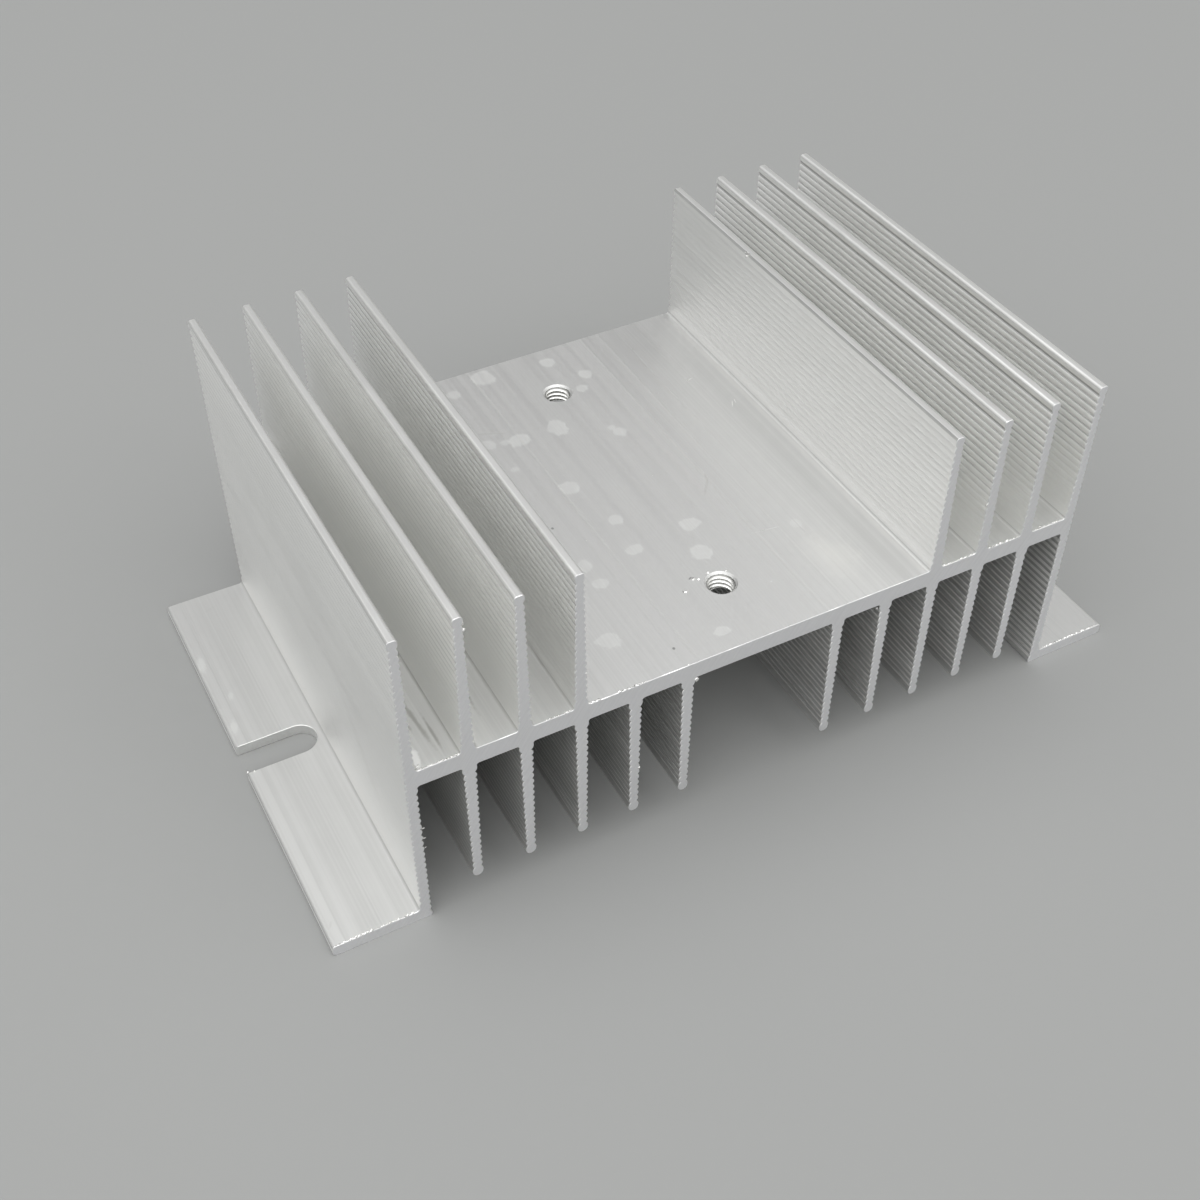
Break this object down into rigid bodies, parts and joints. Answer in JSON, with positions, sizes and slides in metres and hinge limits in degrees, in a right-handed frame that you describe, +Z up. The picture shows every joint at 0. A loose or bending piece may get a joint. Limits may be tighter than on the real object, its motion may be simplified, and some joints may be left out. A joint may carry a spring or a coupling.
{
  "type": "relay heat sink",
  "caption": "Extruded aluminium heat sink for a solid-state relay: finned channel section with tapped holes and slotted feet.",
  "frame": {"origin": "middle of the width and length, on the plane that the undersides of the two feet lie in", "axes": "+Z up from the feet through the fins; X across the extruded section, the widest way; Y along the extrusion"},
  "size_m": [0.124, 0.07, 0.05],
  "materials": {
    "aluminium": "satin"
  },
  "bodies": {
    "root": {"heat_sink_body": "aluminium"}
  },
  "joints": []
}
